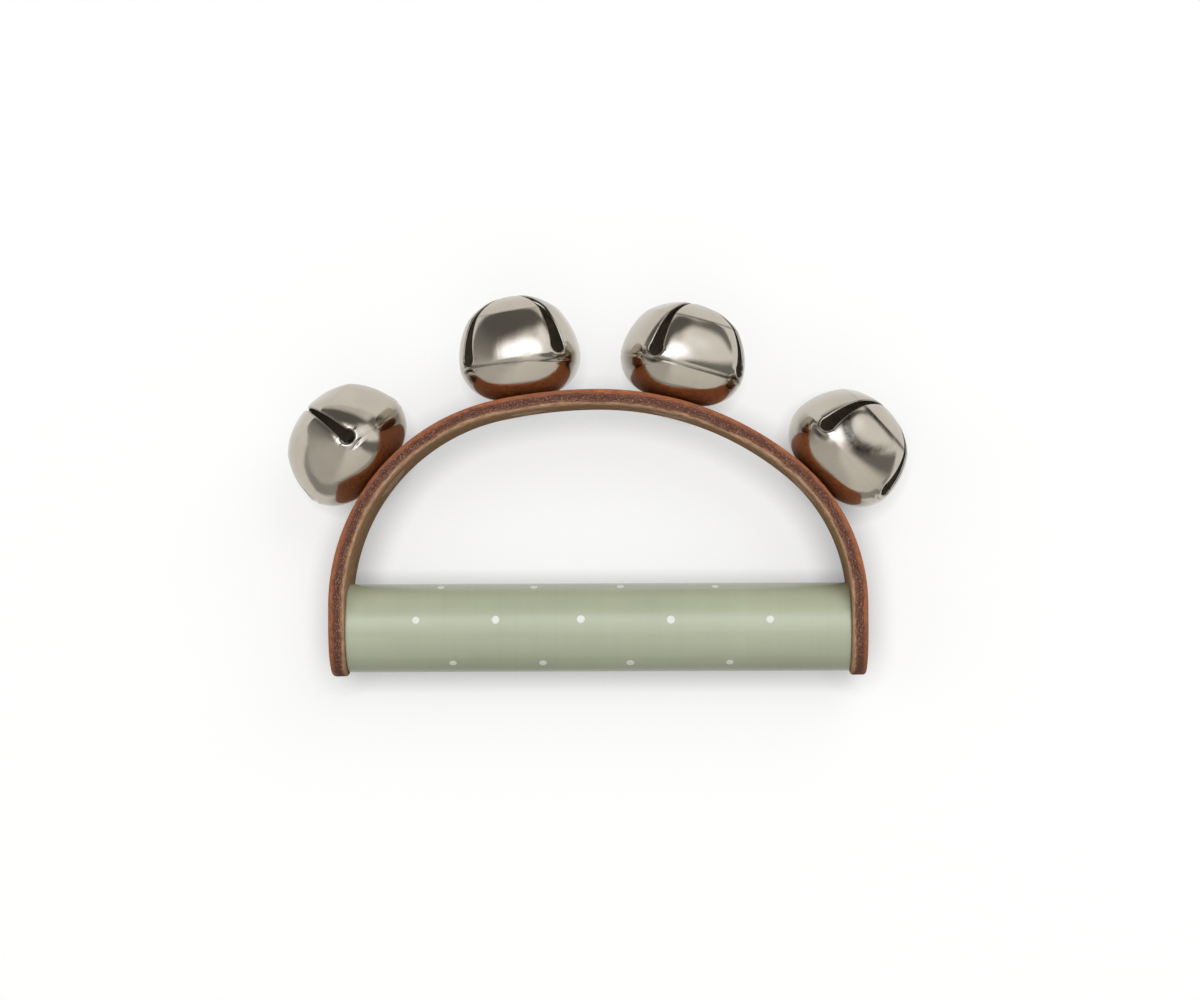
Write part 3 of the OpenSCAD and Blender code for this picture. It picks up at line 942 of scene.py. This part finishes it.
def uneven_sheet(spot):
    """Hand-bent sheet is never quite even, save round the rivet."""
    waves = noise.noise(spot.at * WAVE_SCALE + Vector((spot.number * WAVE_APART, 0.0, 0.0)))
    return WAVE_RISE * waves * clamp((spot.r - WAVE_R) / WAVE_R), 0.0


MARKS = (fold_groove, upper_crease, slot_edge, slot_pucker, painted_reflection_arc, uneven_sheet)


def dents(spot):
    """(lift, painted shade or dark reflection) of all marks together at a place."""
    lifts, painted_dark_amounts = zip(*(mark(spot) for mark in MARKS))
    return sum(lifts), clamp(max(painted_dark_amounts))


# Folded bells

# Steps round the sheet's edge, from its outer to its inner face
EDGE_TURNS = (30, 60, 90, 120, 150)
# Painted shade on the sheet's edge, and on its first step
EDGE_PAINTED_SHADE, FIRST_EDGE_PAINTED_SHADE = 0.75, 0.25
# Numbers of the bell's materials on its mesh
SHINY, DULL = 0, 1
# Distance between the bells in the space of their noise
NOISE_APART = 40.0


def swing(p, angle):
    """A point or direction turned about the bell's axis."""
    c, s = math.cos(angle), math.sin(angle)
    return c * p[0] - s * p[1], s * p[0] + c * p[1], p[2]


def bell_sheet(place):
    """(outer points, normals, painted shade) by petal, row and column."""
    bend = BENT[place]
    shape = (PETALS, len(FORM.rows), len(ACROSS))
    outer, normal, painted_dark = np.zeros((*shape, 3)), np.zeros((*shape, 3)), np.zeros(shape)
    for k in range(PETALS):
        facing = math.radians(45.0 + 90.0 * k)
        for i, row in enumerate(FORM.rows):
            r, z, nr, nz, _ = row
            half = FORM.half_angle(r, z, bend.wide)
            stretched = z if z <= FOLD_RISE else FOLD_RISE + (z - FOLD_RISE) * bend.tall
            for j, share in enumerate(ACROSS):
                phi = share * half
                far, turned = FORM.plan(r, z, phi)
                n = np.array((math.cos(turned) * nr, math.sin(turned) * nr, nz))
                lift, painted_dark[k, i, j] = dents(Spot(place, phi, facing, half, row))
                p = np.array((far * math.cos(phi), far * math.sin(phi), stretched)) + n * lift
                outer[k, i, j] = swing(p, facing)
                normal[k, i, j] = swing(n, facing)
    return outer, normal, painted_dark


def slot_loop(rows, cols):
    """Petals, rows and columns of the points along the sheet's edge, once round all four slots."""
    low = int(np.argmax(FORM.rows[:, 1] >= FORM.hole_low - TINY))
    loop = []
    for k in range(PETALS):
        loop += [(k, i, cols - 1) for i in range(rows - 1, low - 1, -1)]
        loop += [((k + 1) % PETALS, i, 0) for i in range(low + 1, rows - 1)]
    return tuple(np.array(loop).T)


def edge_points(at, up):
    """Points over the sheet's rounded edge, one list per step."""
    along = np.roll(at, -1, 0) - np.roll(at, 1, 0)
    along /= np.linalg.norm(along, axis=1)[:, None]
    into = np.cross(up, along)
    into /= np.linalg.norm(into, axis=1)[:, None]
    half = BELL_WALL / 2
    return [at - up * half + (up * cos(a) + into * sin(a)) * half for a in EDGE_TURNS]


def strap_place(place):
    """Where a bell stands: base on the strap, lean, axis upwards, turn."""
    stand = BELLS[place]
    return (
        Matrix.Translation((*bell_base(stand.lean), 0.0))
        @ Matrix.Rotation(math.radians(-stand.lean), 4, "Z")
        @ Matrix.Rotation(math.radians(-90.0), 4, "X")
        @ Matrix.Rotation(math.radians(stand.turn), 4, "Z")
    )


def build_bell(place):
    outer, normal, painted_dark = bell_sheet(place)
    inner = outer - normal * BELL_WALL
    _, rows, cols = painted_dark.shape
    per = painted_dark.size
    number = np.arange(per).reshape(painted_dark.shape)
    points = [*outer.reshape(-1, 3), *inner.reshape(-1, 3)]
    faces, marks = [], []

    def put(new, mark):
        faces.extend(new)
        marks.extend([mark] * len(new))

    for petal in number:
        put(grid_faces(petal[:, ::-1]), SHINY)
        put(grid_faces(petal + per), DULL)
    # Rounded edge of the sheet
    loop = slot_loop(rows, cols)
    rings = [number[loop]]
    for step in edge_points(outer[loop], normal[loop]):
        rings.append(len(points) + np.arange(len(step)))
        points.extend(step)
    rings.append(number[loop] + per)
    put(grid_faces(np.array(rings), close_u=True), SHINY)
    # Wall of the rivet hole
    hole = number[:, 0, :-1].reshape(1, -1)
    put(grid_faces(np.vstack([hole, hole + per]), close_u=True), DULL)
    # Painted shade on each point: from the marks on the faces, and along the sheet's edge round the slots
    painted_dark_amount = np.full(len(points), EDGE_PAINTED_SHADE)
    painted_dark_amount[:per] = painted_dark.ravel()
    painted_dark_amount[rings[1]] = FIRST_EDGE_PAINTED_SHADE
    own, faces, marks, kept = weld(points, faces, marks)
    stand = strap_place(place)
    points = own @ np.array(stand.to_3x3()).T + np.array(stand.translation)
    bell = make_piece("bell_" + place + "_folded", points, faces, [NICKEL, INSIDE], marks)
    store(bell, "own", own + np.array((0.0, NOISE_APART * bell_number(place), 0.0)))
    store(bell, "painted_dark", painted_dark_amount[kept])
    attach(bell, "bell_" + place)
    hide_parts("bell_shell_" + place)


build_strap()
build_handle()
build_dots()
for place in BELLS:
    build_bell(place)

# Solids that show as they are
PLAIN_SOLIDS = {"pellet": PELLET, "handle_screw": SCREW, "rivet": RIVET}
for name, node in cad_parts.items():
    for start, material in PLAIN_SOLIDS.items():
        if name.startswith(start):
            node.data.materials.clear()
            node.data.materials.append(material)


# Camera at the photograph's viewing angle, in degrees, millimetres and the photograph's pixels

YAW, PITCH, ROLL = 1.30, -1.90, -0.25
CAMERA_FAR, AIM_RISE = 724.95, 40.0
PHOTO_W, PHOTO_H = 1200, 1000
AIM_PIXEL_X, AIM_PIXEL_Y, PIXELS_PER_MM = 598.10, 467.29, 3.9951
SENSOR_W = 36.0
# Nearest and farthest that the camera sees, in metres
CLIP = (0.05, 50.0)


def build_camera():
    back = Vector((sin(YAW) * cos(PITCH), sin(PITCH), cos(YAW) * cos(PITCH)))
    level = Vector((0.0, 1.0, 0.0)).cross(back).normalized()
    upright = back.cross(level)
    right = level * cos(ROLL) + upright * sin(ROLL)
    up = upright * cos(ROLL) - level * sin(ROLL)
    place = (Vector((0.0, AIM_RISE, 0.0)) + back * CAMERA_FAR) * MM
    camera = add_to_scene("camera", bpy.data.cameras.new("camera"))
    camera.matrix_world = Matrix.Translation(place) @ Matrix((right, up, back)).transposed().to_4x4()
    view = camera.data
    view.sensor_fit = "HORIZONTAL"
    view.sensor_width = SENSOR_W
    view.lens = PIXELS_PER_MM * CAMERA_FAR / PHOTO_W * SENSOR_W
    view.shift_x = (PHOTO_W / 2 - AIM_PIXEL_X) / PHOTO_W
    view.shift_y = (AIM_PIXEL_Y - PHOTO_H / 2) / PHOTO_W
    view.clip_start, view.clip_end = CLIP
    bpy.context.scene.camera = camera


# Floor, in metres. The part lies on its strap's legs and its bells, so the floor meets it at a slope

FLOOR_SIDE, FLOOR_DROP, FLOOR_SLOPE = 6.0, 0.0122, 0.0942
# How far the shade round the places of contact reaches
SHADE_REACH = 0.009
# The glow that varnish and metal mirror, in the shade in front of the part and beyond it
SHADE_Y, MIRRORED_GLOW = (-0.030, -0.010), (0.08, 0.63)
# The glow that the camera sees, under the lamps and far from them
OPEN_FAR, OPEN_GLOW = (0.30, 1.40), (0.725, 1.0)
WHITE = (1.0, 1.0, 1.0)


def floor_material():
    material, net, shader = new_material("white_floor")
    net.plug(shader, {"Base Color": (0.25, 0.25, 0.249), "Roughness": 0.8, "Specular IOR Level": 0.1})
    ray = net.add("ShaderNodeLightPath").outputs
    spot = net.add("ShaderNodeNewGeometry").outputs["Position"]
    # The table falls into shade in front of the part, which the varnish mirrors
    mirrored = net.times(ray["Is Glossy Ray"], net.range(net.split(spot)["Y"], SHADE_Y, MIRRORED_GLOW))
    # Far from the lamps the glow alone makes the floor white
    away = net.add("ShaderNodeVectorMath", {0: spot}, operation="LENGTH").outputs["Value"]
    clear = net.math("MAXIMUM", ray["Is Camera Ray"], ray["Is Transmission Ray"])
    direct = net.times(clear, net.range(away, OPEN_FAR, OPEN_GLOW))
    shade = net.add("ShaderNodeAmbientOcclusion", {"Distance": SHADE_REACH}, samples=8).outputs["AO"]
    strength = net.times(net.math("MAXIMUM", mirrored, direct), shade)
    glow = net.add("ShaderNodeEmission", {"Color": WHITE, "Strength": strength}).outputs[0]
    both = net.add("ShaderNodeAddShader", {0: shader.outputs[0], 1: glow}).outputs[0]
    net.plug(material.node_tree.nodes["Material Output"], {"Surface": both})
    return material


def build_floor():
    half = FLOOR_SIDE / 2
    corners = [(-half, -half, 0), (half, -half, 0), (half, half, 0), (-half, half, 0)]
    mesh = bpy.data.meshes.new("floor")
    mesh.from_pydata(corners, [], [(0, 1, 2, 3)])
    mesh.materials.append(floor_material())
    floor = add_to_scene("floor", mesh)
    floor.location = (0.0, 0.0, -FLOOR_DROP)
    floor.rotation_mode = "QUATERNION"
    floor.rotation_quaternion = Vector((0.0, FLOOR_SLOPE, 1.0)).to_track_quat("Z", "Y")


# Lamps, in metres and watts, that the metal doesn't mirror

LAMP_AIM = (0.0, 0.03, 0.0)


def soft_lamp(name, place, side, power):
    light = bpy.data.lights.new(name, "AREA")
    light.shape = "SQUARE"
    light.size = side
    light.energy = power
    lamp = add_to_scene(name, light)
    lamp.location = place
    lamp.rotation_mode = "QUATERNION"
    lamp.rotation_quaternion = (Vector(LAMP_AIM) - Vector(place)).to_track_quat("-Z", "Y")
    lamp.visible_glossy = False


# World: what the metal mirrors, by azimuth and elevation in degrees

# Brightness of the walls from low to high, of what stands before them, and of the doorway's sides
WALL_RISE, WALLS = (0.0, 50.0), (0.72, 0.86)
LEFT_WALL, RIGHT_WALL, WINDOW, CEILING, ZENITH, BENCH, STAND = 0.60, 1.02, 1.24, 2.30, 1.60, 0.20, 0.21
DOOR_SIDES, DOORWAY = (-92.0, -42.0), (0.40, 0.14)
# Brightness of the world for all rays but mirrored ones
AMBIENT = 0.50
# Colour of plain walls and of the brightest places, and where one turns into the other
WARM, COOL, COOL_FROM = (1.0, 0.985, 0.955), (0.97, 1.02, 1.13), (0.85, 1.6)


def studio_brightness(net):
    """Brightness by direction: light walls and window, bright ceiling, dark doorway, bench and stand."""
    aim = net.split(net.add("ShaderNodeTexCoord").outputs["Generated"])
    azimuth = net.times(net.math("ARCTAN2", aim["X"], aim["Y"]), 180 / math.pi)
    elevation = net.times(net.math("ARCSINE", aim["Z"]), 180 / math.pi)

    def right_of(edge, soft):
        return net.above(azimuth, edge, soft)

    def left_of(edge, soft):
        return net.flip(right_of(edge, soft))

    def over(edge, soft, slope=0.0):
        height = net.plus(elevation, net.times(azimuth, slope)) if slope else elevation
        return net.above(height, edge, soft)

    def under(edge, soft, slope=0.0):
        return net.flip(over(edge, soft, slope))

    doorway = net.range(azimuth, DOOR_SIDES, DOORWAY)
    lintel, side = under(46.0, 8.0, slope=0.22), under(64.0, 10.0, slope=1.35)
    sill = over(7.0, 5.0, slope=-0.15)
    layers = [
        (LEFT_WALL, right_of(-165.0, 12.0), left_of(-88.0, 10.0)),
        (RIGHT_WALL, right_of(28.0, 10.0), left_of(90.0, 8.0), under(66.0, 8.0)),
        (WINDOW, right_of(26.0, 8.0), left_of(60.0, 10.0), over(32.0, 8.0)),
        (CEILING, over(58.0, 9.0), right_of(-85.0, 25.0), left_of(72.0, 25.0)),
        (ZENITH, over(80.0, 7.0)),
        (doorway, lintel, side, right_of(-92.0, 14.0), sill),
        (BENCH, right_of(32.0, 6.0), left_of(74.0, 6.0), under(32.0, 6.0, slope=0.35)),
        (STAND, right_of(88.0, 6.0), left_of(117.0, 9.0), under(67.0, 6.0)),
    ]
    studio = net.range(elevation, WALL_RISE, WALLS)
    for brightness, *edges in layers:
        studio = net.blend(studio, brightness, net.times(*edges))
    return studio


def build_world():
    world = bpy.data.worlds.new("studio")
    bpy.context.scene.world = world
    world.use_nodes = True
    net = Net(world.node_tree)
    studio = studio_brightness(net)
    ray = net.add("ShaderNodeLightPath").outputs
    # Camera rays meet plain white
    clear = net.math("MAXIMUM", ray["Is Camera Ray"], ray["Is Transmission Ray"])
    cool = net.times(net.range(studio, COOL_FROM, (0.0, 1.0)), ray["Is Glossy Ray"])
    light = net.blend(AMBIENT, studio, ray["Is Glossy Ray"])
    net.plug(world.node_tree.nodes["Background"], {
        "Color": net.mix(clear, net.mix(cool, WARM, COOL), WHITE),
        "Strength": net.math("MAXIMUM", light, clear),
    })


build_camera()
build_floor()
soft_lamp("key_softbox", (0.70, 1.05, 1.10), side=1.3, power=15.0)
soft_lamp("front_fill", (0.0, -0.55, 1.5), side=1.2, power=6.0)
soft_lamp("left_softbox", (-1.15, 0.30, 1.15), side=1.1, power=5.0)
build_world()
bpy.context.scene.view_settings.view_transform = "Standard"
